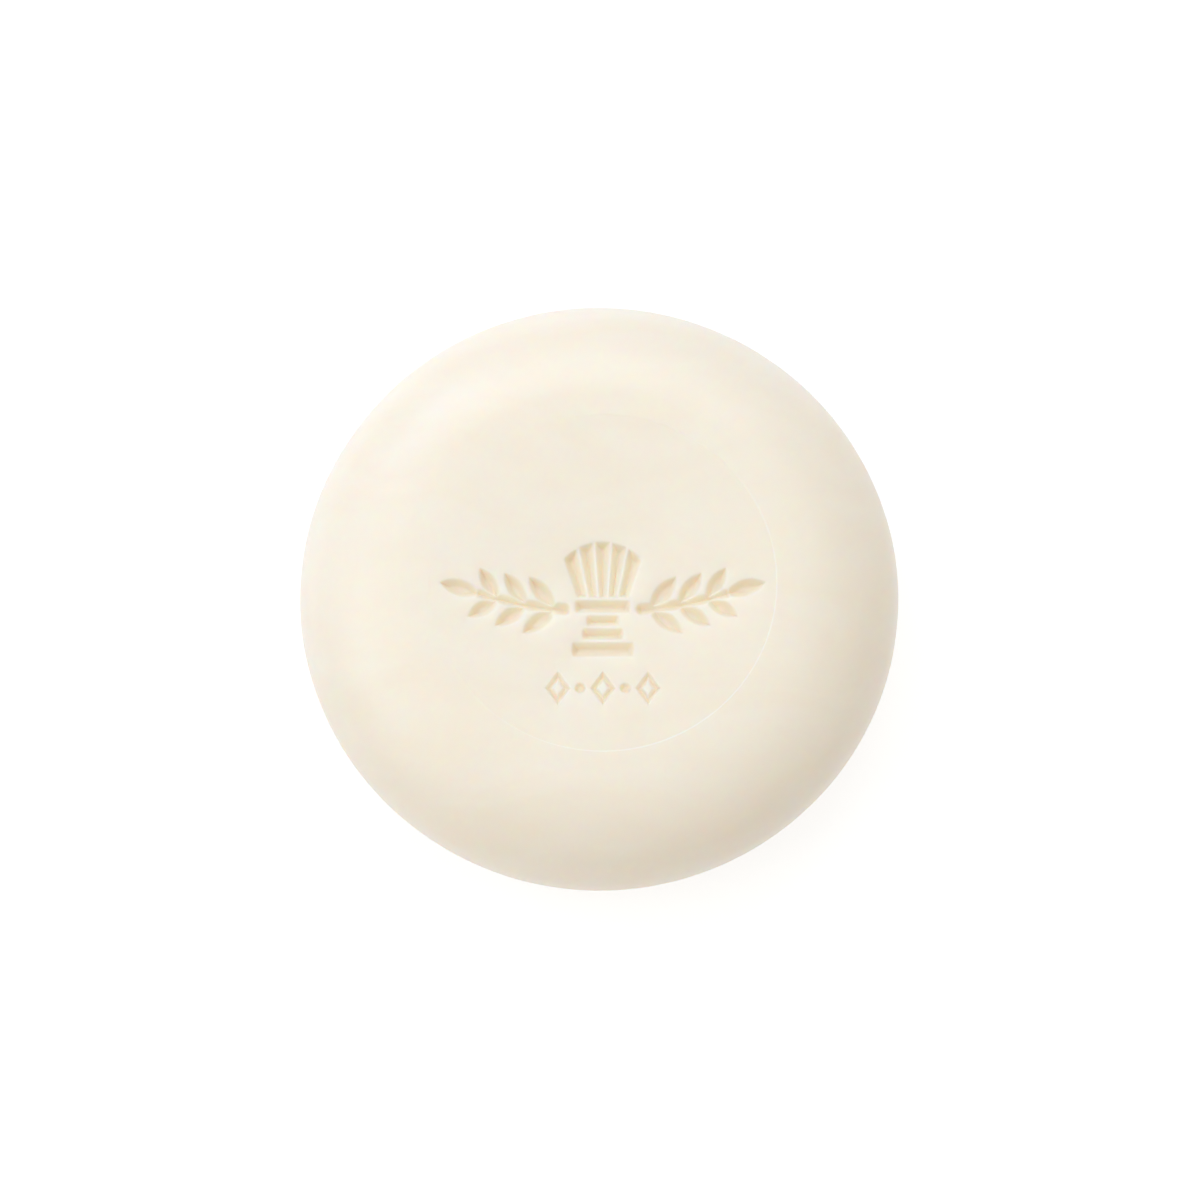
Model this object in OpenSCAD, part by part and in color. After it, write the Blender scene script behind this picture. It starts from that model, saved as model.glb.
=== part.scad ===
// Shaving soap puck: one pressed cake of hard soap, lying on its flat face.
// Origin at the centre of the resting face, +Z up through the stamped face,
// +Y towards the top of the emblem. Millimetres.

/* [Puck] */
// Diameter of the cake, without its parting line
puck_d = 80; // [76:1:88]
// Thickness, from the resting face to the crest round the stamped face
puck_t = 20.6; // [18:0.2:26]
// Radius where the flat of either face ends and the shoulder starts to fall
flat_r = 24; // [23.6:0.1:25]
// Radius of the tight curve round the edge
edge_r = 7.5; // [5:0.5:8.5]
// Radius of the soft crease in the shoulder
crease_r = 26.7; // [25.5:0.1:30]
// How far the parting line of the two die halves stands proud
parting_h = 0.1; // [0.05:0.05:0.3]

/* [Stamped face] */
// Diameter of the die's round insert, which presses the stamped face
insert_d = 46.4; // [44:0.2:46.6]
// How far the insert sat to the right of the cake's axis
insert_x = 0.4; // [0:0.1:0.4]
// How far the insert sat below the cake's axis, as the emblem is read
insert_drop = 0.3; // [0:0.1:0.4]
// How deep the stamped face is dished at its centre
dish_depth = 0.7; // [0.4:0.1:1.2]
// Share of the dish's radius over which it rounds up to the crest
crest_share = 0.3; // [0.1:0.05:0.5]
// How far the hairline left round the insert stands proud
hairline_h = 0.06; // [0.04:0.02:0.2]

/* [Emblem] */
// Width of the whole emblem, over both sprigs
emblem_w = 43.6; // [40:0.2:43.8]
// How far the emblem's middle lies below the middle of the stamped face
emblem_drop = 2.2; // [0:0.1:3]
// Depth of the emblem
emblem_depth = 1; // [0.4:0.1:1.6]
// Number of leaf pairs on each sprig
leaf_pairs = 3; // [2:1:4]
// Height of the brush in the middle of the emblem
brush_h = 15.6; // [14:0.2:16.4]

/* [Lozenge row] */
// Number of lozenges in the row under the emblem
lozenge_count = 3; // [1:2:3]
// How far the row lies below the middle of the stamped face
row_drop = 14.5; // [13.6:0.1:15.5]
// Height of one lozenge
lozenge_h = 4.3; // [3:0.1:4.6]
// Depth of the lozenges
row_depth = 0.5; // [0.3:0.1:1]

/* [Hidden] */
$fn = 144;

body_r = puck_d / 2;
mid_z = puck_t / 2;
shoulder_w = body_r - flat_r;

// The shoulder is one wide arc that leaves the flat level and runs on into the
// tight arc round the edge. This is the wide radius at which the two are tangent.
shoulder_r = (pow(shoulder_w - edge_r, 2) + pow(mid_z, 2) - pow(edge_r, 2))
    / (2 * (mid_z - edge_r));
join_r = flat_r + (shoulder_w - edge_r) * shoulder_r / (shoulder_r - edge_r);
crease_z = puck_t - shoulder_r + sqrt(pow(shoulder_r, 2) - pow(crease_r - flat_r, 2));

// The dish is a hollow arc that runs on into a rounded one, level at the insert's
// edge. The two are tangent when their radii add up to this.
insert_r = insert_d / 2;
arcs_r = (pow(insert_r, 2) + pow(dish_depth, 2)) / (2 * dish_depth);
crest_r = crest_share * arcs_r;
hollow_r = arcs_r - crest_r;
turn_r = insert_r * (1 - crest_share);
dish_fn = 1440;
bead_r = 0.2;
bead_fn = 24;
cut_above = 2;

// Sprig: an arched stem with leaves that shrink towards its tip. The first pair
// sits a share of the gap between pairs along it.
stem_r = 60;
stem_fn = 360;
stem_w = 1.4;
stem_start_x = 5.2;
stem_y = -1.6;
leaf_l = 5.4;
leaf_w = 2.1;
leaf_angle = 45;
leaf_shrink = 0.94;
first_leaf = 0.3;
stem_start_a = asin(stem_start_x / stem_r);
stem_end_a = asin((emblem_w / 2 - leaf_l) / stem_r);
leaf_step_a = (stem_end_a - stem_start_a) / leaf_pairs;

// Brush: a domed fan of bristles over a turned handle with a narrow waist.
// Each bar of the handle is [width, thickness], from the ferrule down to the
// foot, as shares of the brush's height.
handle_bars = [
    [0.46, 0.100],
    [0.27, 0.083],
    [0.34, 0.087],
    [0.52, 0.115],
];
bar_gap = 0.034 * brush_h;
knot_apex = -0.60 * brush_h;
knot_half_angle = 19;
dome_y = 0.07 * brush_h;
tuft_count = 5;
tuft_gap = 0.45;

// Lozenges and the dots between them.
lozenge_w = 0.72 * lozenge_h;
lozenge_line = 0.75;
lozenge_pitch = 6;
dot_r = 0.6;

// Half of the cake's cross-section, right of its axis.
module half_section() {
    difference() {
        union() {
            square([flat_r, puck_t]);
            intersection() {
                translate([flat_r, puck_t - shoulder_r]) circle(shoulder_r);
                translate([flat_r, shoulder_r]) circle(shoulder_r);
                translate([flat_r, 0]) square([join_r - flat_r, puck_t]);
            }
            translate([body_r - edge_r, mid_z]) circle(edge_r);
        }
        polygon([
            [flat_r, puck_t],
            [crease_r, crease_z],
            [crease_r, puck_t + cut_above],
            [flat_r, puck_t + cut_above],
        ]);
    }
}

// A thin bead round the axis, standing proud of the surface at that point.
module bead(r, z, proud, outwards) {
    rotate_extrude()
        translate([r - (outwards ? bead_r - proud : 0), z - (outwards ? 0 : bead_r - proud)])
            circle(bead_r, $fn = bead_fn);
}

// Everything above the dished face, once it is lowered by a depth.
module above_dish(lowered) {
    top = dish_depth + lowered + cut_above;
    translate([insert_x, -insert_drop, puck_t - dish_depth - lowered])
        rotate_extrude() {
            intersection() {
                translate([0, hollow_r]) circle(hollow_r, $fn = dish_fn);
                square([insert_r, top]);
            }
            difference() {
                translate([turn_r, 0]) square([insert_r - turn_r, top]);
                translate([insert_r, dish_depth - crest_r]) circle(crest_r, $fn = dish_fn);
            }
        }
}

// Presses a flat outline into the dished face, to an even depth.
module press(depth) {
    intersection() {
        translate([insert_x, -insert_drop, mid_z]) linear_extrude(puck_t) children();
        above_dish(depth);
    }
}

// A pointed leaf along +X from the origin.
module leaf(length, width) {
    side_r = (pow(length, 2) + pow(width, 2)) / (4 * width);
    intersection() {
        translate([length / 2, side_r - width / 2]) circle(side_r);
        translate([length / 2, width / 2 - side_r]) circle(side_r);
    }
}

// Places its children on the stem at an angle round the stem's centre.
module on_stem(a) {
    translate([0, stem_y + stem_r]) rotate(a) translate([0, -stem_r]) children();
}

module stem() {
    intersection() {
        translate([0, stem_y + stem_r]) difference() {
            circle(stem_r + stem_w / 2, $fn = stem_fn);
            circle(stem_r - stem_w / 2, $fn = stem_fn);
        }
        translate([stem_start_x, stem_y - stem_w])
            square([emblem_w / 2 - leaf_l - stem_start_x + stem_w, leaf_l + leaf_w]);
    }
}

module sprig() {
    stem();
    on_stem(stem_end_a) leaf(leaf_l, leaf_w);
    for (i = [0 : leaf_pairs - 1], side = [-1, 1])
        on_stem(stem_start_a + (i + first_leaf) * leaf_step_a)
            rotate(side * leaf_angle)
                leaf(leaf_l * pow(leaf_shrink, i), leaf_w * pow(leaf_shrink, i));
}

// Height of the top of one bar of the handle, counted from the ferrule.
function bar_top(i) = i == 0
    ? -brush_h / 2 + handle_height()
    : bar_top(i - 1) - handle_bars[i - 1][1] * brush_h - bar_gap;

function handle_height(i = 0) = i == len(handle_bars)
    ? -bar_gap
    : handle_bars[i][1] * brush_h + bar_gap + handle_height(i + 1);

// The fan of bristles: a wedge with a domed top, split into tufts.
module knot() {
    tuft_angle = 2 * knot_half_angle / tuft_count;
    reach = brush_h / 2 - knot_apex;
    spread = reach * tan(knot_half_angle);
    knot_bottom = bar_top(0) + bar_gap;
    difference() {
        intersection() {
            translate([0, dome_y]) circle(brush_h / 2 - dome_y);
            polygon([[0, knot_apex], [spread, brush_h / 2], [-spread, brush_h / 2]]);
            translate([-spread, knot_bottom]) square([2 * spread, brush_h]);
        }
        for (i = [1 : tuft_count - 1])
            translate([0, knot_apex]) rotate(i * tuft_angle - knot_half_angle)
                translate([-tuft_gap / 2, 0]) square([tuft_gap, reach]);
    }
}

// A bar of the turned handle, with gently rounded ends.
module bar(width, thickness) {
    intersection() {
        circle(d = width);
        square([2 * width, thickness], center = true);
    }
}

module brush() {
    knot();
    for (i = [0 : len(handle_bars) - 1])
        translate([0, bar_top(i) - handle_bars[i][1] * brush_h / 2])
            bar(handle_bars[i][0] * brush_h, handle_bars[i][1] * brush_h);
}

module emblem() {
    translate([0, -emblem_drop]) {
        brush();
        sprig();
        mirror([1, 0]) sprig();
    }
}

module lozenge(width, height) {
    polygon([[width / 2, 0], [0, height / 2], [-width / 2, 0], [0, -height / 2]]);
}

module lozenge_row() {
    last = (lozenge_count - 1) / 2;
    inner = 1 - 2 * lozenge_line / lozenge_w;
    translate([0, -row_drop]) {
        for (i = [-last : last])
            translate([i * lozenge_pitch, 0]) difference() {
                lozenge(lozenge_w, lozenge_h);
                lozenge(lozenge_w * inner, lozenge_h * inner);
            }
        for (i = [-last : 1 : last - 1])
            translate([(i + 0.5) * lozenge_pitch, 0]) circle(dot_r);
    }
}

module soap_puck() {
    color([0.96, 0.93, 0.86])
        difference() {
            union() {
                difference() {
                    rotate_extrude() half_section();
                    above_dish(0);
                }
                translate([insert_x, -insert_drop, 0]) bead(insert_r, puck_t, hairline_h, false);
                bead(body_r, mid_z, parting_h, true);
            }
            press(emblem_depth) emblem();
            press(row_depth) lozenge_row();
        }
}

soap_puck();
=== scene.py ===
"""Looks of the shaving soap puck: one pressed cake of ivory soap on a pale floor."""

import math

import bpy
import numpy as np
from mathutils import Matrix, Vector, noise
from mathutils.geometry import delaunay_2d_cdt


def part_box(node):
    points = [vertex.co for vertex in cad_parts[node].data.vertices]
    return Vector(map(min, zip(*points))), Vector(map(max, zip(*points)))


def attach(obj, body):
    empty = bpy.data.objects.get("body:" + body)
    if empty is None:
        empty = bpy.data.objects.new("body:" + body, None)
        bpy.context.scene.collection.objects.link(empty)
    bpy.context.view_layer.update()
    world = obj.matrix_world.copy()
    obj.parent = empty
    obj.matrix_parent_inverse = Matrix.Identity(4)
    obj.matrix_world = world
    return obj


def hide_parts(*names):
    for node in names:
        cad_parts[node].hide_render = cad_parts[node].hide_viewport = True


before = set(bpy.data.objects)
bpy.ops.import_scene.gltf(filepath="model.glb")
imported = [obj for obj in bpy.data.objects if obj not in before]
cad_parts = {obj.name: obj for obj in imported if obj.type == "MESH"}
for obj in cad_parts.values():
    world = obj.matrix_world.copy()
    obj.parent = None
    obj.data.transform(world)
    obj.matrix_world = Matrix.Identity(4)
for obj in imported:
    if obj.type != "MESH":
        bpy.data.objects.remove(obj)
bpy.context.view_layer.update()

MM = 0.001
NODE = "soap_puck"
low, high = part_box(NODE)

# ---------------------------------------------------------------- dimensions, in millimetres
PARTING_H = 0.1  # how far the parting line stands proud of the edge
HAIRLINE_H = 0.06  # how far the hairline round the insert stands proud of the crest
BODY_R = (high.x - low.x) / 2 / MM - PARTING_H
CREST_Z = (high.z - low.z) / MM - HAIRLINE_H
MID_Z = CREST_Z / 2
FLAT_R = 24.0  # where the flat of either face ends
CREASE_R = 26.7  # soft crease in the upper shoulder
EDGE_R = 7.5  # tight curve round the edge
INSERT_R = 23.2
INSERT_OFFSET = np.array([0.4, -0.3])  # of the insert's centre from the cake's axis
DISH_DEPTH = 0.7
CREST_SHARE = 0.3  # share of the dish's radius over which it rounds up to the crest

EMBLEM_W = 43.6
EMBLEM_DROP = 2.2
EMBLEM_DEPTH = 1.0
BRUSH_H = 15.6
ROW_DROP = 14.5
ROW_DEPTH = 0.5

STEM_R = 60.0
STEM_Y = -1.6
STEM_START_X = 5.2
STEM_W = (1.5, 1.1)  # at the brush and at the tip
LEAF_L = 5.4
LEAF_W = 2.1
LEAF_ANGLE = math.radians(45)
LEAF_SHRINK = 0.94
FIRST_LEAF = 0.3  # of the gap between leaf pairs
LEAF_PAIRS = 3

# Width and thickness of each bar of the handle, as shares of the brush's height.
HANDLE_BARS = ((0.46, 0.100), (0.27, 0.083), (0.34, 0.087), (0.52, 0.115))
BAR_GAP = 0.034 * BRUSH_H
KNOT_APEX = -0.60 * BRUSH_H
KNOT_HALF_ANGLE = math.radians(19)
DOME_Y = 0.07 * BRUSH_H
TUFT_COUNT = 5
TUFT_GAP = 0.45

LOZENGE_H = 4.3
LOZENGE_W = 0.72 * LOZENGE_H
LOZENGE_LINE = 0.75
LOZENGE_PITCH = 6.0
DOT_R = 0.6

# How softly the outlines meet and turn their corners.
LEAF_BLEND = 0.2
KNOT_SIDE_SOFT = 0.35
KNOT_FOOT_SOFT = 0.25
TUFT_SOFT = 0.2
BAR_SOFT = 0.3
LOZENGE_SOFT = 0.15

# ---------------------------------------------------------------- flat outlines of the emblem
# Each function gives the signed distance in millimetres to an outline, negative inside it.


def smooth_max(a, b, k):
    """The larger of a and b, with the corner between them rounded over a width k."""
    h = np.clip(0.5 - 0.5 * (b - a) / k, 0, 1)
    return b + (a - b) * h + k * h * (1 - h)


def smooth_min(a, b, k):
    return -smooth_max(-a, -b, k)


def leaf(x, y, length, width):
    """A pointed leaf along +X from the origin."""
    side_r = (length**2 + width**2) / (4 * width)
    offset = side_r - width / 2
    across, along = np.abs(y), np.abs(x - length / 2)
    at_tip = (along - length / 2) * offset > across * length / 2
    return np.where(
        at_tip,
        np.hypot(across, along - length / 2),
        np.hypot(across + offset, along) - side_r,
    )


def on_stem(x, y, angle, turn):
    """Coordinates of points as seen from a leaf that leaves the stem there, turned by turn."""
    cx, cy = STEM_R * math.sin(angle), STEM_Y + STEM_R * (1 - math.cos(angle))
    a = angle + turn
    return (
        (x - cx) * math.cos(a) + (y - cy) * math.sin(a),
        (y - cy) * math.cos(a) - (x - cx) * math.sin(a),
    )


def sprig(x, y):
    """Both sprigs: an arched stem with pairs of leaves and one leaf at its tip, mirrored."""
    x = np.abs(x)
    start = math.asin(STEM_START_X / STEM_R)
    end = math.asin((EMBLEM_W / 2 - LEAF_L) / STEM_R)
    step = (end - start) / LEAF_PAIRS
    angle = np.clip(np.arctan2(x, STEM_Y + STEM_R - y), start, end)
    width = np.interp(angle, (start, end), STEM_W)
    nearest_x = STEM_R * np.sin(angle)
    nearest_y = STEM_Y + STEM_R * (1 - np.cos(angle))
    d = np.hypot(x - nearest_x, y - nearest_y) - width / 2
    d = smooth_min(d, leaf(*on_stem(x, y, end, 0), LEAF_L, LEAF_W), LEAF_BLEND)
    for i in range(LEAF_PAIRS):
        size = LEAF_SHRINK**i
        for side in (-1, 1):
            lx, ly = on_stem(x, y, start + (i + FIRST_LEAF) * step, side * LEAF_ANGLE)
            d = smooth_min(d, leaf(lx, ly, LEAF_L * size, LEAF_W * size), LEAF_BLEND)
    return d


def bar_tops():
    """Height of the top of each bar of the handle."""
    thick = [b[1] * BRUSH_H for b in HANDLE_BARS]
    top = -BRUSH_H / 2 + sum(thick) + BAR_GAP * (len(thick) - 1)
    tops = []
    for t in thick:
        tops.append(top)
        top -= t + BAR_GAP
    return tops


def knot(x, y):
    """The fan of bristles: a wedge with a domed top, split into tufts."""
    up = y - KNOT_APEX
    d = np.hypot(x, y - DOME_Y) - (BRUSH_H / 2 - DOME_Y)
    wedge = np.abs(x) * math.cos(KNOT_HALF_ANGLE) - up * math.sin(KNOT_HALF_ANGLE)
    d = smooth_max(d, wedge, KNOT_SIDE_SOFT)
    d = smooth_max(d, bar_tops()[0] + BAR_GAP - y, KNOT_FOOT_SOFT)
    for i in range(1, TUFT_COUNT):
        a = i * 2 * KNOT_HALF_ANGLE / TUFT_COUNT - KNOT_HALF_ANGLE
        across = x * math.cos(a) + up * math.sin(a)
        d = smooth_max(d, TUFT_GAP / 2 - np.abs(across), TUFT_SOFT)
    return d


def brush(x, y):
    """The fan of bristles over the bars of its handle."""
    d = knot(x, y)
    for (width, thick), top in zip(HANDLE_BARS, bar_tops()):
        half = thick * BRUSH_H / 2
        up = y - top + half
        end = np.hypot(x, up) - width * BRUSH_H / 2
        d = np.minimum(d, smooth_max(end, np.abs(up) - half, BAR_SOFT))
    return d


def emblem(x, y):
    y = y + EMBLEM_DROP
    return np.minimum(brush(x, y), sprig(x, y))


def lozenge(x, y, width, height):
    scale = width * height / math.hypot(width, height) / 2
    return (2 * np.abs(x) / width + 2 * np.abs(y) / height - 1) * scale


def lozenge_row(x, y):
    """Three outlined lozenges with a dot between each two."""
    y = y + ROW_DROP
    x = np.abs(x)
    inner = 1 - 2 * LOZENGE_LINE / LOZENGE_W
    d = np.hypot(x - LOZENGE_PITCH / 2, y) - DOT_R
    for centre in (0, LOZENGE_PITCH):
        outside = lozenge(x - centre, y, LOZENGE_W, LOZENGE_H)
        inside = lozenge(x - centre, y, LOZENGE_W * inner, LOZENGE_H * inner)
        d = np.minimum(d, smooth_max(outside, -inside, LOZENGE_SOFT))
    return d


# ---------------------------------------------------------------- relief of the stamped face
WALL_OUT = 0.2  # the wall of a stamped groove starts this far outside its outline
WALL_IN = 0.8  # and reaches the floor this far inside it
ROW_WALL_OUT = 0.2
ROW_WALL_IN = 0.3
DRAW_SHARE = 0.16  # share of the depth by which the soap round a groove is drawn in
DRAW_REACH = 0.7  # and how far out that fades


def pressed(d, wall_out, wall_in):
    """How far down the wall of a groove a point is, from 0 outside it to 1 on its floor."""
    t = np.clip((wall_out - d) / (wall_out + wall_in), 0, 1)
    return t * t * (3 - 2 * t)


def sunk(d, depth, wall_out, wall_in):
    """How far the soap is pressed in at a signed distance from an outline."""
    drawn = np.exp(-np.maximum(d, 0) / DRAW_REACH)
    return depth * (DRAW_SHARE * drawn + (1 - DRAW_SHARE) * pressed(d, wall_out, wall_in))


def dish(r):
    """Depth of the dish below the crest: a hollow arc that runs on into a rounded one."""
    arcs_r = (INSERT_R**2 + DISH_DEPTH**2) / (2 * DISH_DEPTH)
    crest_r = CREST_SHARE * arcs_r
    hollow_r = arcs_r - crest_r
    hollow = np.sqrt(hollow_r**2 - r**2) - hollow_r + DISH_DEPTH
    rounded = crest_r - np.sqrt(crest_r**2 - (INSERT_R - r) ** 2)
    return np.where(r < INSERT_R * (1 - CREST_SHARE), hollow, rounded)


def face_relief(x, y):
    """Depth below the crest at points of the stamped face, from the insert's centre."""
    return (
        dish(np.hypot(x, y))
        + sunk(emblem(x, y), EMBLEM_DEPTH, WALL_OUT, WALL_IN)
        + sunk(lozenge_row(x, y), ROW_DEPTH, ROW_WALL_OUT, ROW_WALL_IN)
    )


# ---------------------------------------------------------------- the cake's cross-section
ARC_POINTS = 200
LOW_ARC_POINTS = 240


def cross_section():
    """The cake's outline from the insert's edge, over the shoulder and round to the middle of
    the underside, as a dense run of (radius, height) points."""
    width = BODY_R - FLAT_R
    shoulder_r = ((width - EDGE_R) ** 2 + MID_Z**2 - EDGE_R**2) / (2 * (MID_Z - EDGE_R))
    join = math.asin((width - EDGE_R) / (shoulder_r - EDGE_R))
    crease = math.asin((CREASE_R - FLAT_R) / shoulder_r)
    turns = np.linspace(crease, join, ARC_POINTS)
    wide = np.stack([FLAT_R + shoulder_r * np.sin(turns),
                     CREST_Z - shoulder_r * (1 - np.cos(turns))], 1)
    turns = np.linspace(join, math.pi / 2, ARC_POINTS)[1:]
    tight = np.stack([BODY_R - EDGE_R + EDGE_R * np.sin(turns),
                      MID_Z + EDGE_R * np.cos(turns)], 1)
    turns = np.linspace(0, join, LOW_ARC_POINTS)
    low_wide = np.stack([FLAT_R + shoulder_r * np.sin(turns),
                         shoulder_r * (1 - np.cos(turns))], 1)
    low_tight = np.stack([tight[::-1, 0], CREST_Z - tight[::-1, 1]], 1)[1:]
    top = np.array([[INSERT_R, CREST_Z], [FLAT_R, CREST_Z]])
    return np.concatenate([top, wide, tight, low_tight, low_wide[::-1][1:], [[0.0, 0.0]]])


def evenly(points, gap):
    """Arc lengths a gap apart along a run of points, and the points there."""
    run = np.concatenate([[0], np.cumsum(np.hypot(*np.diff(points, axis=0).T))])
    lengths = np.arange(0, run[-1], gap)
    return lengths, np.stack([np.interp(lengths, run, points[:, i]) for i in (0, 1)], 1)


COLUMNS = 360
RUN_STEP = 0.02
CREST_SPREAD = 0.45  # how softly the crest turns into the shoulder
SPREAD = 0.2  # how softly the other corners turn
WITNESS_R = 23.2  # faint ring that the lower die's insert leaves in the underside
WITNESS_DEPTH = 0.07
AVERAGE_REACH = 3.5  # points this many spreads away no longer count in an average
CREST_REACH = 4  # the crest's softness has died out this many spreads before the crease


def averaged(run, spread):
    """A run of evenly spaced points, each averaged with its neighbours."""
    reach = int(AVERAGE_REACH * spread / RUN_STEP)
    s = np.arange(-reach, reach + 1) * RUN_STEP
    weight = np.exp(-0.5 * (s / spread) ** 2)
    before = np.stack([run[0, 0] + s[:reach], np.full(reach, run[0, 1])], 1)
    after = np.stack([-s[reach + 1:], np.zeros(reach)], 1)
    padded = np.concatenate([before, run, after])
    columns = [np.convolve(padded[:, i], weight / weight.sum(), "valid") for i in (0, 1)]
    return np.stack(columns, 1)


def soft_section():
    """Arc lengths along the cross-section, and its points with the corners softened."""
    fine, run = evenly(cross_section(), RUN_STEP)
    crest = CREASE_R - INSERT_R - CREST_REACH * SPREAD
    share = np.clip((crest - fine) / SPREAD, 0, 1)[:, None]
    section = share * averaged(run, CREST_SPREAD) + (1 - share) * averaged(run, SPREAD)
    section[-1] = (0, 0)
    return fine, section


WIDEST_ABOVE = 0.66  # gap between rings above the parting line
WIDEST_BELOW = 1.2


def ring_stations(total, equator, witness):
    """Arc lengths of the rings: close together at the hairline, the crease, the parting line
    and the witness ring, and wider apart elsewhere."""
    # Where each lies, the gap there, how far to either side that gap holds, and how fast
    # it grows beyond.
    close = (
        (0.0, 0.05, 0.0, 0.3),
        (CREASE_R - INSERT_R, 0.16, 0.0, 0.25),
        (equator, 0.06, 0.25, 0.36),
        (witness, 0.07, 0.16, 0.45),
    )
    stations = [0.0]
    while stations[-1] < total:
        s = stations[-1]
        gaps = [gap + growth * max(0.0, abs(s - place) - reach)
                for place, gap, reach, growth in close]
        gaps.append(WIDEST_ABOVE if s < equator else WIDEST_BELOW)
        stations.append(s + min(gaps))
    return np.array(stations[:-1])


FACE_RINGS = (0.5, 0.4, 0.3, 0.22, 0.16, 0.11, 0.06)  # how far inside the insert's edge
FINEST_GAP = 0.1  # between points near an outline
GAP_LEVELS = 4  # each twice as coarse as the one before
WIDEST_GAP = 1.0
GAP_REACH = 0.5  # the finest gap holds this far to either side of an outline
GAP_GROWTH = 0.32  # and it grows this fast beyond
LEVEL_SHARE = 1.5  # a level serves where the wanted gap is below this share of its own
RIM_CLEAR = 0.35  # of a gap, kept free inside the first ring
RIM_GAP = 0.3  # smallest gap counted there
SAME_POINT = 0.25  # of the finest gap, within which points are one


def disc_points():
    """Points over the stamped face, close together where the relief is steep."""
    reach = INSERT_R - FACE_RINGS[0]
    chosen = []
    for level in range(GAP_LEVELS):
        gap = FINEST_GAP * 2**level
        count = 2 * (int(reach / gap) + 2)
        steps = np.arange(-count, count + 1)
        i, j = np.meshgrid(steps, steps)
        x = (i + j * 0.5).ravel() * gap
        y = (j * math.sqrt(0.75)).ravel() * gap
        keep = np.hypot(x, y) < reach - RIM_CLEAR * max(gap, RIM_GAP)
        x, y = x[keep], y[keep]
        near = np.minimum(np.abs(emblem(x, y)), np.abs(lozenge_row(x, y)))
        wanted = FINEST_GAP + GAP_GROWTH * np.maximum(near - GAP_REACH, 0)
        wanted = np.clip(wanted, FINEST_GAP, WIDEST_GAP)
        coarsest = level == GAP_LEVELS - 1
        take = np.full(len(x), coarsest) | (wanted < gap * LEVEL_SHARE)
        chosen.append(np.stack([x[take], y[take]], 1))
    points = np.concatenate(chosen)
    key = np.round(points / (FINEST_GAP * SAME_POINT)).astype(int)
    _, first = np.unique(key, axis=0, return_index=True)
    return points[np.sort(first)]


HAIRLINE_IN = (0.2, 0.06)  # the hairline falls to the face, softly or steeply
HAIRLINE_OUT = 1.5  # and fades out slowly over the crest
HAIRLINE_TURN = math.radians(-50)  # direction in which it is crispest
HAIRLINE_LEAN = 0.45  # it is highest this much further round
HAIRLINE_LEFT = 0.12  # share of its height that is left where it fades out
HAIRLINE_SPAN = 1.1  # above 1, it has its full height over more than one direction
PAINTED_HIGHLIGHT_W = 0.08  # half width of the painted highlight along the crisp stretch of the hairline
PAINTED_HIGHLIGHT_CUT = 0.9  # the larger, the shorter the stretch with the painted highlight
WITNESS_W = 0.1
PARTING_W = 0.16
PARTING_UNEVEN = 0.2  # share of its height by which the parting line varies
TAPER_R = 0.3  # the rings stop this close to the middle of the underside


def ridge(distance, width):
    """A bell-shaped ridge of height 1."""
    return np.exp(-((distance / width) ** 2))


def crispness(turn):
    """How crisp the hairline is in a direction, from 0 on its soft side to 1 opposite."""
    return 0.5 + 0.5 * np.cos(turn - HAIRLINE_TURN)


def hairline_height(turn):
    """The insert sat a hair lower on one side, so the hairline fades out there."""
    toward = np.cos(turn - HAIRLINE_TURN - HAIRLINE_LEAN)
    side = np.clip(HAIRLINE_SPAN + HAIRLINE_SPAN * toward, 0.0, 1.0)
    return HAIRLINE_H * (HAIRLINE_LEFT + (1 - HAIRLINE_LEFT) * side)


def face_rings(cos, sin):
    """Rings over the last stretch of the stamped face, up to the insert's edge."""
    rings = []
    turn = np.arctan2(sin, cos)
    fall = np.interp(crispness(turn), (0, 1), HAIRLINE_IN)
    for inside in FACE_RINGS:
        x, y = (INSERT_R - inside) * cos, (INSERT_R - inside) * sin
        height = CREST_Z - face_relief(x, y) + hairline_height(turn) * ridge(inside, fall)
        rings.append(np.stack([x + INSERT_OFFSET[0], y + INSERT_OFFSET[1], height], 1))
    return rings


def body_rings(cos, sin):
    """Rings from the insert's edge over the shoulder and in under the cake."""
    fine, section = soft_section()
    r_fine, z_fine = section.T
    equator = fine[np.argmax(r_fine)]
    witness = fine[np.argmax((fine > equator) & (r_fine < WITNESS_R))]
    stations = ring_stations(fine[-1], equator, witness)
    slope_r, slope_z = np.gradient(r_fine, fine), np.gradient(z_fine, fine)
    turn = np.arctan2(sin, cos)
    uneven = np.sin(3 * turn + 1) * np.sin(11 * turn)
    parting = PARTING_H * (1 - PARTING_UNEVEN + PARTING_UNEVEN * uneven)
    rings = []
    for s in stations:
        r, z = np.interp(s, fine, r_fine), np.interp(s, fine, z_fine)
        if r < TAPER_R:
            break
        out_r, out_z = -np.interp(s, fine, slope_z), np.interp(s, fine, slope_r)
        proud = hairline_height(turn) * ridge(s, HAIRLINE_OUT)
        proud = proud - WITNESS_DEPTH * ridge(s - witness, WITNESS_W)
        proud = proud + parting * ridge(s - equator, PARTING_W)
        shift = INSERT_OFFSET * max(0.0, 1 - s / (CREASE_R - INSERT_R))
        x = (r + out_r * proud) * cos + shift[0]
        y = (r + out_r * proud) * sin + shift[1]
        rings.append(np.stack([x, y, z + out_z * proud], 1))
    return rings


def ring_faces(rings, columns):
    """Four-sided faces between neighbouring rings, each of as many points as columns."""
    polygons = []
    for k in range(rings - 1):
        for c in range(columns):
            n = (c + 1) % columns
            corners = (k, c), (k + 1, c), (k + 1, n), (k, n)
            polygons.append([ring * columns + column for ring, column in corners])
    return polygons


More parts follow.
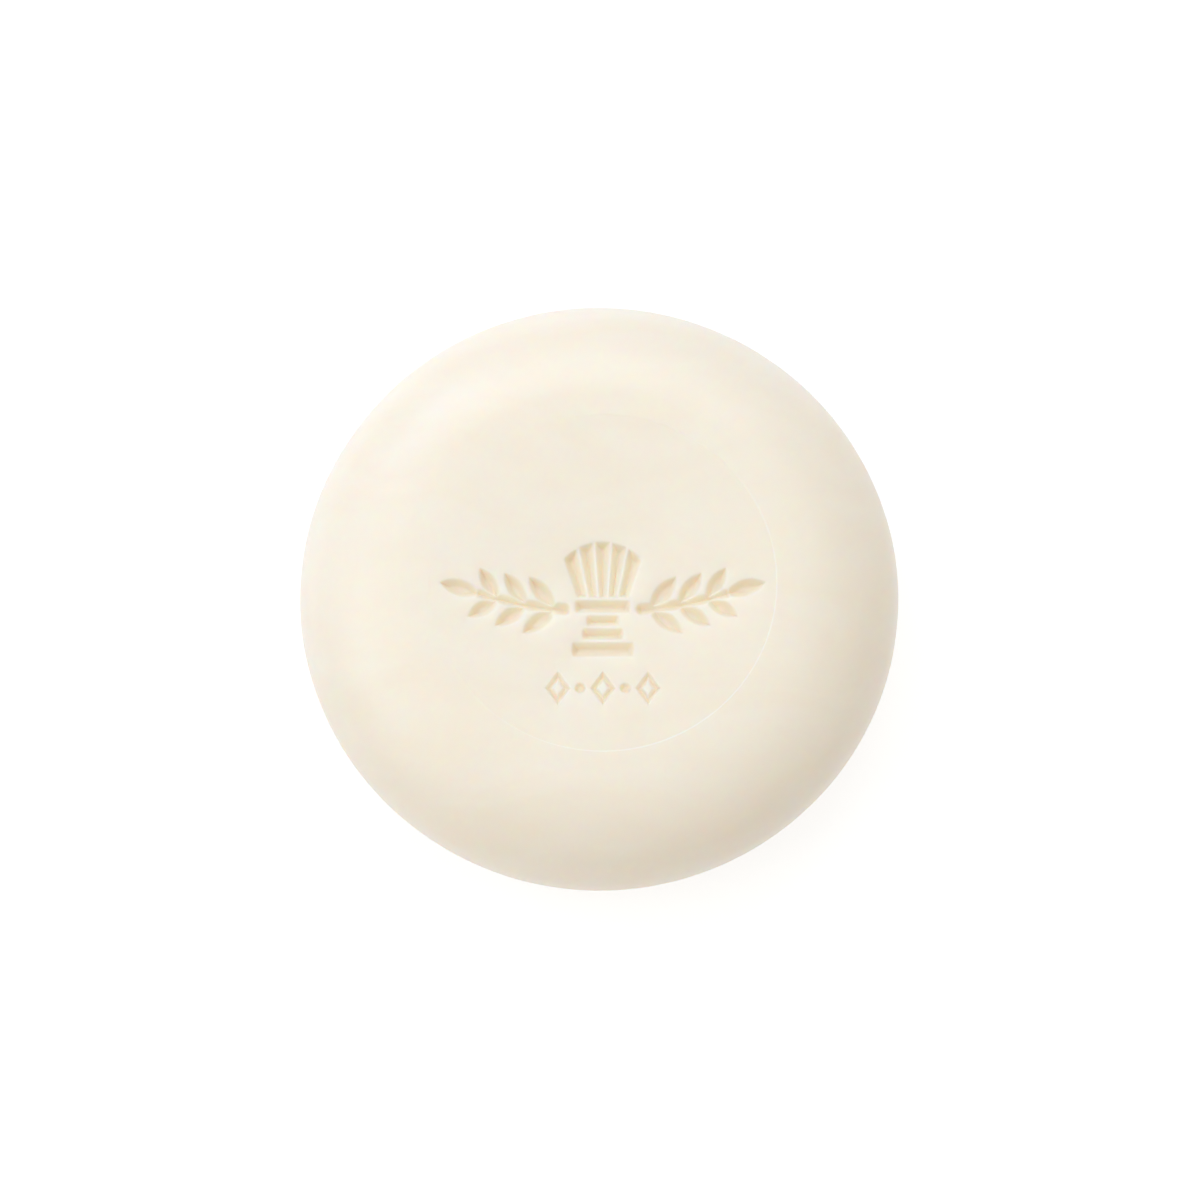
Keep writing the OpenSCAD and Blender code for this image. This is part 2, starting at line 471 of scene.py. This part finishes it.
PAINTED_SHADE_OUT = 0.3  # the painted shade of the grooves starts this far outside an outline
PAINTED_SHADE_IN = 0.3
WAVE_H = 0.03  # height of the gentle waves that pressing leaves in the soap
WAVES = ((11, 0.7), (4.5, 0.3))  # size of the bumps and their share of the height
WAVE_CLEAR = 3.0  # no waves this close to the face that it rests on
WAVE_OFFSET = Vector((13.7, 7.1, 3.3))  # keeps each size's bumps apart from the others'
WHOLE_OUTLINE = 0  # the triangulation fills the outline round all its points
TOUCHING = 1e-7  # points this close are one to it


def wave_height(points):
    """How far the waves lift the skin at points, in millimetres."""
    total = np.zeros(len(points))
    for i, (size, share) in enumerate(WAVES):
        offset = WAVE_OFFSET * (i + 1)
        total += share * np.array([noise.noise(Vector(p) / size + offset) for p in points])
    return WAVE_H * total * np.clip(points[:, 2] / WAVE_CLEAR - 1, 0, 1)


def puck_mesh():
    """The whole cake as one closed mesh: the face inside the rings, the rings, and a last
    point in the middle of the underside."""
    turn = np.arange(COLUMNS) * 2 * math.pi / COLUMNS
    cos, sin = np.cos(turn), np.sin(turn)
    rings = face_rings(cos, sin) + body_rings(cos, sin)
    ring_points = np.concatenate(rings)

    inside = disc_points()
    flat = np.concatenate([rings[0][:, :2] - INSERT_OFFSET, inside])
    flat = [Vector(p) for p in flat]
    _, _, faces, *_ = delaunay_2d_cdt(flat, [], [], WHOLE_OUTLINE, TOUCHING, False)
    face_z = CREST_Z - face_relief(inside[:, 0], inside[:, 1])
    inside_points = np.column_stack([inside + INSERT_OFFSET, face_z])
    points = np.concatenate([ring_points, inside_points, [[0, 0, 0]]])

    last = len(ring_points) - COLUMNS
    polygons = [[i if i < COLUMNS else i + last for i in f] for f in faces]
    polygons += ring_faces(len(rings), COLUMNS)
    for c in range(COLUMNS):
        polygons.append([last + c, len(points) - 1, last + (c + 1) % COLUMNS])

    # painted shade: a share from 0 to 1 of how far into a groove each point lies, which darkens
    # and warms its colour
    painted_shade = np.zeros(len(points))
    x, y = points[:, 0] - INSERT_OFFSET[0], points[:, 1] - INSERT_OFFSET[1]
    stamped = (np.hypot(x, y) < INSERT_R) & (points[:, 2] > MID_Z)
    marks = np.minimum(emblem(x[stamped], y[stamped]), lozenge_row(x[stamped], y[stamped]))
    painted_shade[stamped] = pressed(marks, PAINTED_SHADE_OUT, PAINTED_SHADE_IN)
    # painted highlight: a thin paler line along the hairline, only on its crisp side, where it
    # catches the light
    crisp = np.clip(2 * crispness(np.arctan2(y, x)) - PAINTED_HIGHLIGHT_CUT, 0, 1)
    painted_highlight = crisp * ridge(np.hypot(x, y) - INSERT_R, PAINTED_HIGHLIGHT_W) * (points[:, 2] > MID_Z)

    out = (points - (0, 0, MID_Z)) / np.array([BODY_R, BODY_R, MID_Z]) ** 2
    out /= np.linalg.norm(out, axis=1)[:, None]
    points = points + out * wave_height(points)[:, None]

    mesh = bpy.data.meshes.new("soap_cake")
    mesh.from_pydata([tuple(p) for p in points * MM], [], polygons)
    mesh.validate()
    mesh.polygons.foreach_set("use_smooth", [True] * len(mesh.polygons))
    for name, values in (("painted_shade", painted_shade), ("painted_highlight", painted_highlight)):
        mesh.attributes.new(name, "FLOAT", "POINT").data.foreach_set("value", values)
    mesh.update()
    return mesh


# ---------------------------------------------------------------- materials
SOAP = (0.915, 0.838, 0.732)
SOAP_PALE = (0.924, 0.855, 0.761)
SOAP_WARM = (0.906, 0.823, 0.706)
SOAP_PAINTED_HIGHLIGHT = (0.96, 0.915, 0.855)  # painted highlight: a paler colour along the hairline where it catches the light
GROOVE_PAINTED_SHADE = (1.0, 0.965, 0.885)  # painted shade: the grooves are coloured a little darker and warmer, in place of the shade and warm bounced light inside them

# Places of a colour mix's sockets, which share their names with those for other types.
MIX_FACTOR, MIX_A, MIX_B, MIX_RESULT = 0, 6, 7, 2


def shown(name, data):
    """A new object in the scene that holds a mesh, a light or a camera."""
    ob = bpy.data.objects.new(name, data)
    bpy.context.scene.collection.objects.link(ob)
    return ob


class Nodes:
    """Adds nodes to a material or a sky and links them."""

    def __init__(self, owner, shader):
        owner.use_nodes = True
        self.tree = owner.node_tree
        self.shader = self.tree.nodes[shader]

    def link(self, source, target):
        self.tree.links.new(source, target)

    def coordinates(self, kind):
        return self.tree.nodes.new("ShaderNodeTexCoord").outputs[kind]

    def attribute(self, name):
        node = self.tree.nodes.new("ShaderNodeAttribute")
        node.attribute_name = name
        return node.outputs["Fac"]

    def noise(self, where, scale, detail, roughness=0.5, distortion=0.0):
        node = self.tree.nodes.new("ShaderNodeTexNoise")
        for name, value in (("Scale", scale), ("Detail", detail), ("Roughness", roughness),
                            ("Distortion", distortion)):
            node.inputs[name].default_value = value
        self.link(where, node.inputs["Vector"])
        return node.outputs["Fac"]

    def remap(self, value, low, high, to_low=0.0, to_high=1.0, interpolation="LINEAR"):
        node = self.tree.nodes.new("ShaderNodeMapRange")
        node.interpolation_type = interpolation
        for name, number in (("From Min", low), ("From Max", high), ("To Min", to_low),
                             ("To Max", to_high)):
            node.inputs[name].default_value = number
        self.link(value, node.inputs["Value"])
        return node.outputs["Result"]

    def blend(self, factor, a, b, mode="MIX"):
        node = self.tree.nodes.new("ShaderNodeMix")
        node.data_type = "RGBA"
        node.blend_type = mode
        for place, source in ((MIX_FACTOR, factor), (MIX_A, a), (MIX_B, b)):
            socket = node.inputs[place]
            if isinstance(source, bpy.types.NodeSocket):
                self.link(source, socket)
            elif isinstance(source, tuple):
                socket.default_value = (*source, 1)
            else:
                socket.default_value = source
        return node.outputs[MIX_RESULT]

    def bump(self, height, distance, below=None):
        node = self.tree.nodes.new("ShaderNodeBump")
        node.inputs["Strength"].default_value = 1.0
        node.inputs["Distance"].default_value = distance
        self.link(height, node.inputs["Height"])
        if below is not None:
            self.link(below, node.inputs["Normal"])
        return node.outputs["Normal"]


ROUGHNESS = (0.30, 0.37)
NOISE_RANGE = (0.3, 0.7)  # what most of the noise's values lie between
MOTTLE_RANGE = (0.35, 0.65)
MOTTLE_SHARE = 0.35  # how much of the colour the fine mottling may take over
STRETCH = (0.45, 1.0, 1.0)  # the clouds are drawn out as the billet was when it was extruded
STRETCH_TURN = (0, 0, 0.35)
RIPPLE_H = 0.006 * MM
GRAIN_H = 0.0016 * MM
SCATTER_REACH = 4 * MM  # how far red light goes below the surface
SCATTER_SHARES = (1.0, 0.7, 0.45)  # of that reach, for red, green and blue
SOAP_IOR = 1.46


def soap_colour(n, where):
    """Faint clouds and mottling, with painted shade in the grooves and a painted highlight
    along the hairline.
    """
    stretch = n.tree.nodes.new("ShaderNodeMapping")
    stretch.inputs["Scale"].default_value = STRETCH
    stretch.inputs["Rotation"].default_value = STRETCH_TURN
    n.link(where, stretch.inputs["Vector"])
    drawn_out = stretch.outputs["Vector"]
    clouds = n.noise(drawn_out, scale=95, detail=4, roughness=0.55, distortion=1.2)
    mottle = n.noise(where, scale=900, detail=3)
    colour = n.blend(n.remap(clouds, *NOISE_RANGE), SOAP_WARM, SOAP_PALE)
    colour = n.blend(n.remap(mottle, *MOTTLE_RANGE, 0.0, MOTTLE_SHARE), colour, SOAP)
    # painted shade: the grooves' colour is multiplied darker and warmer
    groove_shaded = n.blend(1.0, colour, GROOVE_PAINTED_SHADE, "MULTIPLY")
    colour = n.blend(n.attribute("painted_shade"), colour, groove_shaded)
    # painted highlight: the crisp stretch of the hairline is painted paler
    return n.blend(n.attribute("painted_highlight"), colour, SOAP_PAINTED_HIGHLIGHT)


def soap_material():
    """Hard milled soap: ivory, slightly translucent, with a satin skin from the die."""
    material = bpy.data.materials.new("ivory_soap")
    n = Nodes(material, "Principled BSDF")
    where = n.coordinates("Object")
    n.link(soap_colour(n, where), n.shader.inputs["Base Color"])

    patches = n.noise(where, scale=260, detail=4, roughness=0.6)
    n.link(n.remap(patches, *NOISE_RANGE, *ROUGHNESS), n.shader.inputs["Roughness"])
    ripple = n.bump(n.noise(where, scale=420, detail=2), RIPPLE_H)
    grain = n.bump(n.noise(where, scale=5200, detail=2, roughness=0.6), GRAIN_H, below=ripple)
    n.link(grain, n.shader.inputs["Normal"])

    n.shader.inputs["Subsurface Weight"].default_value = 1.0
    n.shader.inputs["Subsurface Radius"].default_value = SCATTER_SHARES
    n.shader.inputs["Subsurface Scale"].default_value = SCATTER_REACH
    n.shader.inputs["IOR"].default_value = SOAP_IOR
    return material


# ---------------------------------------------------------------- floor, light and camera
# These are in metres, apart from the camera's sensor.
FLOOR_SIDES = 96
FLOOR_PROFILE = ((3.7, 0), (3.9, 0.015), (4.0, 0.06), (4.02, 0.15))  # radius and height
FLOOR_COLOUR = (0.4, 0.4, 0.4, 1)
FLOOR_GLOW = 0.68


def floor_material():
    material = bpy.data.materials.new("pale_floor")
    shader = Nodes(material, "Principled BSDF").shader
    shader.inputs["Base Color"].default_value = FLOOR_COLOUR
    shader.inputs["Roughness"].default_value = 0.8
    shader.inputs["Emission Color"].default_value = (1, 1, 1, 1)
    shader.inputs["Emission Strength"].default_value = FLOOR_GLOW
    return material


def floor():
    """A wide pale sweep, with a low rim that turns up behind the horizon."""
    turn = np.arange(FLOOR_SIDES) * 2 * math.pi / FLOOR_SIDES
    points = [(r * math.cos(a), r * math.sin(a), z) for r, z in FLOOR_PROFILE for a in turn]
    sweep = [list(range(FLOOR_SIDES))] + ring_faces(len(FLOOR_PROFILE), FLOOR_SIDES)
    mesh = bpy.data.meshes.new("floor")
    mesh.from_pydata(points, [], sweep)
    mesh.materials.append(floor_material())
    ob = shown("floor", mesh)


LIGHT_DISTANCE = 1.3


def softbox(name, azimuth, elevation, width, height, power, colour):
    """A rectangular light that faces the cake, from a direction in degrees."""
    data = bpy.data.lights.new(name, "AREA")
    data.shape = "RECTANGLE"
    data.size = width
    data.size_y = height
    data.energy = power
    data.color = colour
    ob = shown(name, data)
    az, el = math.radians(azimuth), math.radians(elevation)
    direction = math.cos(el) * math.cos(az), math.cos(el) * math.sin(az), math.sin(el)
    ob.location = LIGHT_DISTANCE * Vector(direction)
    ob.rotation_euler = (-Vector(ob.location)).to_track_quat("-Z", "Y").to_euler()


SKY_LOW = (0.215, 0.188, 0.177)
SKY_HIGH = (1.51, 1.51, 1.43)
SKY_RISE = 0.6  # sine of the elevation above which the sky gets brighter


def sky():
    """Soft light that is strongest from straight above."""
    world = bpy.data.worlds.new("studio")
    bpy.context.scene.world = world
    n = Nodes(world, "Background")
    split = n.tree.nodes.new("ShaderNodeSeparateXYZ")
    n.link(n.coordinates("Generated"), split.inputs["Vector"])
    height = n.remap(split.outputs["Z"], SKY_RISE, 1.0, interpolation="SMOOTHSTEP")
    n.link(n.blend(height, SKY_LOW, SKY_HIGH), n.shader.inputs["Color"])
    n.shader.inputs["Strength"].default_value = 1.0


CAMERA_DISTANCE = 2.0
CAMERA_ELEVATION = 76.1
CAMERA_AZIMUTH = -1.55  # from straight in front
CAMERA_REACH = 100
SENSOR_WIDTH = 36
FRAME_WIDTH = 160.77 * MM  # what the camera sees from side to side at the cake
AIM = Vector((0.09, -0.25, MID_Z)) * MM


def camera():
    """A long lens that looks down at the cake from nearly straight above."""
    data = bpy.data.cameras.new("camera")
    data.sensor_width = SENSOR_WIDTH
    data.lens = SENSOR_WIDTH * CAMERA_DISTANCE / FRAME_WIDTH
    data.clip_end = CAMERA_REACH
    ob = shown("camera", data)
    az, el = math.radians(CAMERA_AZIMUTH), math.radians(CAMERA_ELEVATION)
    back = Vector((math.cos(el) * math.sin(az), -math.cos(el) * math.cos(az), math.sin(el)))
    right = (Vector((1, 0, 0)) - back * back.x).normalized()
    up = back.cross(right)
    rotation = Matrix((right, up, back)).transposed().to_4x4()
    ob.matrix_world = Matrix.Translation(AIM + back * CAMERA_DISTANCE) @ rotation
    bpy.context.scene.camera = ob


# ---------------------------------------------------------------- the scene
camera()
floor()
puck = shown("soap_cake", puck_mesh())
puck.data.materials.append(soap_material())
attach(puck, "root")
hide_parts(NODE)

sky()
for name, azimuth in (("left_softbox", 185), ("back_softbox", 90)):
    softbox(name, azimuth, elevation=45, width=1.1, height=0.6, power=3.95, colour=(0.94, 1, 1))
softbox("corner_window", azimuth=125, elevation=37, width=0.4, height=0.4, power=2.4,
        colour=(0.38, 0.56, 1))

scene = bpy.context.scene
scene.view_settings.view_transform = "Standard"
scene.view_settings.look = "None"
